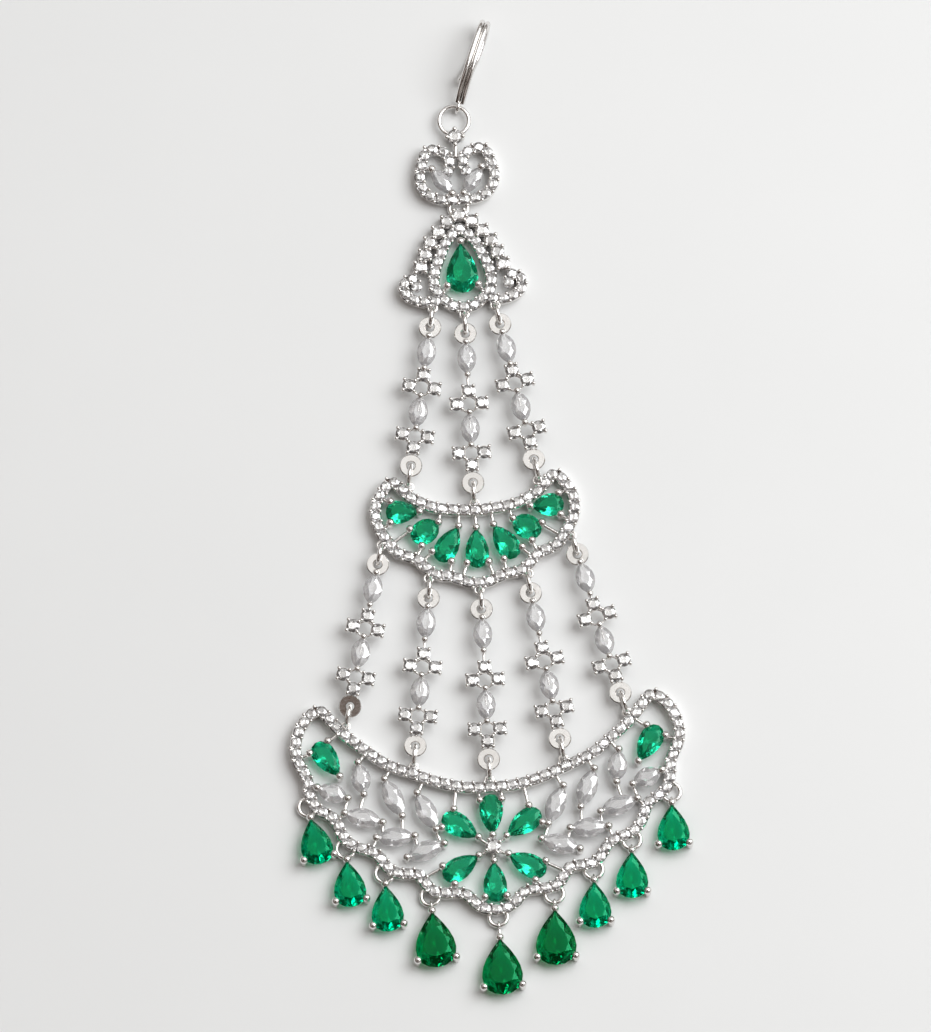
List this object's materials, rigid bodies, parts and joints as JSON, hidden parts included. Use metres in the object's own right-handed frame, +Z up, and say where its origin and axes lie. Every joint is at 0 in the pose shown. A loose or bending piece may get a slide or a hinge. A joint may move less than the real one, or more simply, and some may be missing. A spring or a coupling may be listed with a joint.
{
  "type": "jhoomar",
  "caption": "Hair jewel: a hook, crown and teardrop motifs, and two crescents joined by rigid stone-set strands, with pear drops on jump rings.",
  "frame": {"origin": "middle of the footprint, on the surface that the jewel lies on", "axes": "+Y towards the hair hook, +X to the right as it is seen, +Z up out of its face"},
  "size_m": [0.061, 0.1546, 0.0053],
  "materials": {
    "plated_silver": "bright polished plating",
    "green_stone": "faceted, polished",
    "clear_stone": "faceted, polished"
  },
  "bodies": {
    "root": {"large_crescent": "plated_silver", "small_crescent": "plated_silver", "teardrop_motif": "plated_silver", "crown_motif": "plated_silver", "hook": "plated_silver", "upper_strand_1": "plated_silver", "upper_strand_2": "plated_silver", "upper_strand_3": "plated_silver", "lower_strand_1": "plated_silver", "lower_strand_2": "plated_silver", "lower_strand_3": "plated_silver", "lower_strand_4": "plated_silver", "lower_strand_5": "plated_silver", "drop_ring_1": "plated_silver", "drop_ring_2": "plated_silver", "drop_ring_3": "plated_silver", "drop_ring_4": "plated_silver", "drop_ring_5": "plated_silver", "drop_ring_6": "plated_silver", "drop_ring_7": "plated_silver", "drop_ring_8": "plated_silver", "drop_ring_9": "plated_silver", "motif_link": "plated_silver", "hook_ring": "plated_silver", "upper_strand_1_top_ring": "plated_silver", "upper_strand_1_bottom_ring": "plated_silver", "upper_strand_2_top_ring": "plated_silver", "upper_strand_2_bottom_ring": "plated_silver", "upper_strand_3_top_ring": "plated_silver", "upper_strand_3_bottom_ring": "plated_silver", "lower_strand_1_top_ring": "plated_silver", "lower_strand_1_bottom_ring": "plated_silver", "lower_strand_2_top_ring": "plated_silver", "lower_strand_2_bottom_ring": "plated_silver", "lower_strand_3_top_ring": "plated_silver", "lower_strand_3_bottom_ring": "plated_silver", "lower_strand_4_top_ring": "plated_silver", "lower_strand_4_bottom_ring": "plated_silver", "lower_strand_5_top_ring": "plated_silver", "lower_strand_5_bottom_ring": "plated_silver", "drop_1": "green_stone", "drop_2": "green_stone", "drop_3": "green_stone", "drop_4": "green_stone", "drop_5": "green_stone", "drop_6": "green_stone", "drop_7": "green_stone", "drop_8": "green_stone", "drop_9": "green_stone", "small_crescent_emerald_1": "green_stone", "small_crescent_emerald_2": "green_stone", "small_crescent_emerald_3": "green_stone", "small_crescent_emerald_4": "green_stone", "small_crescent_emerald_5": "green_stone", "small_crescent_emerald_6": "green_stone", "small_crescent_emerald_7": "green_stone", "tip_emerald_left": "green_stone", "tip_emerald_right": "green_stone", "teardrop_emerald": "green_stone"}
  },
  "joints": []
}
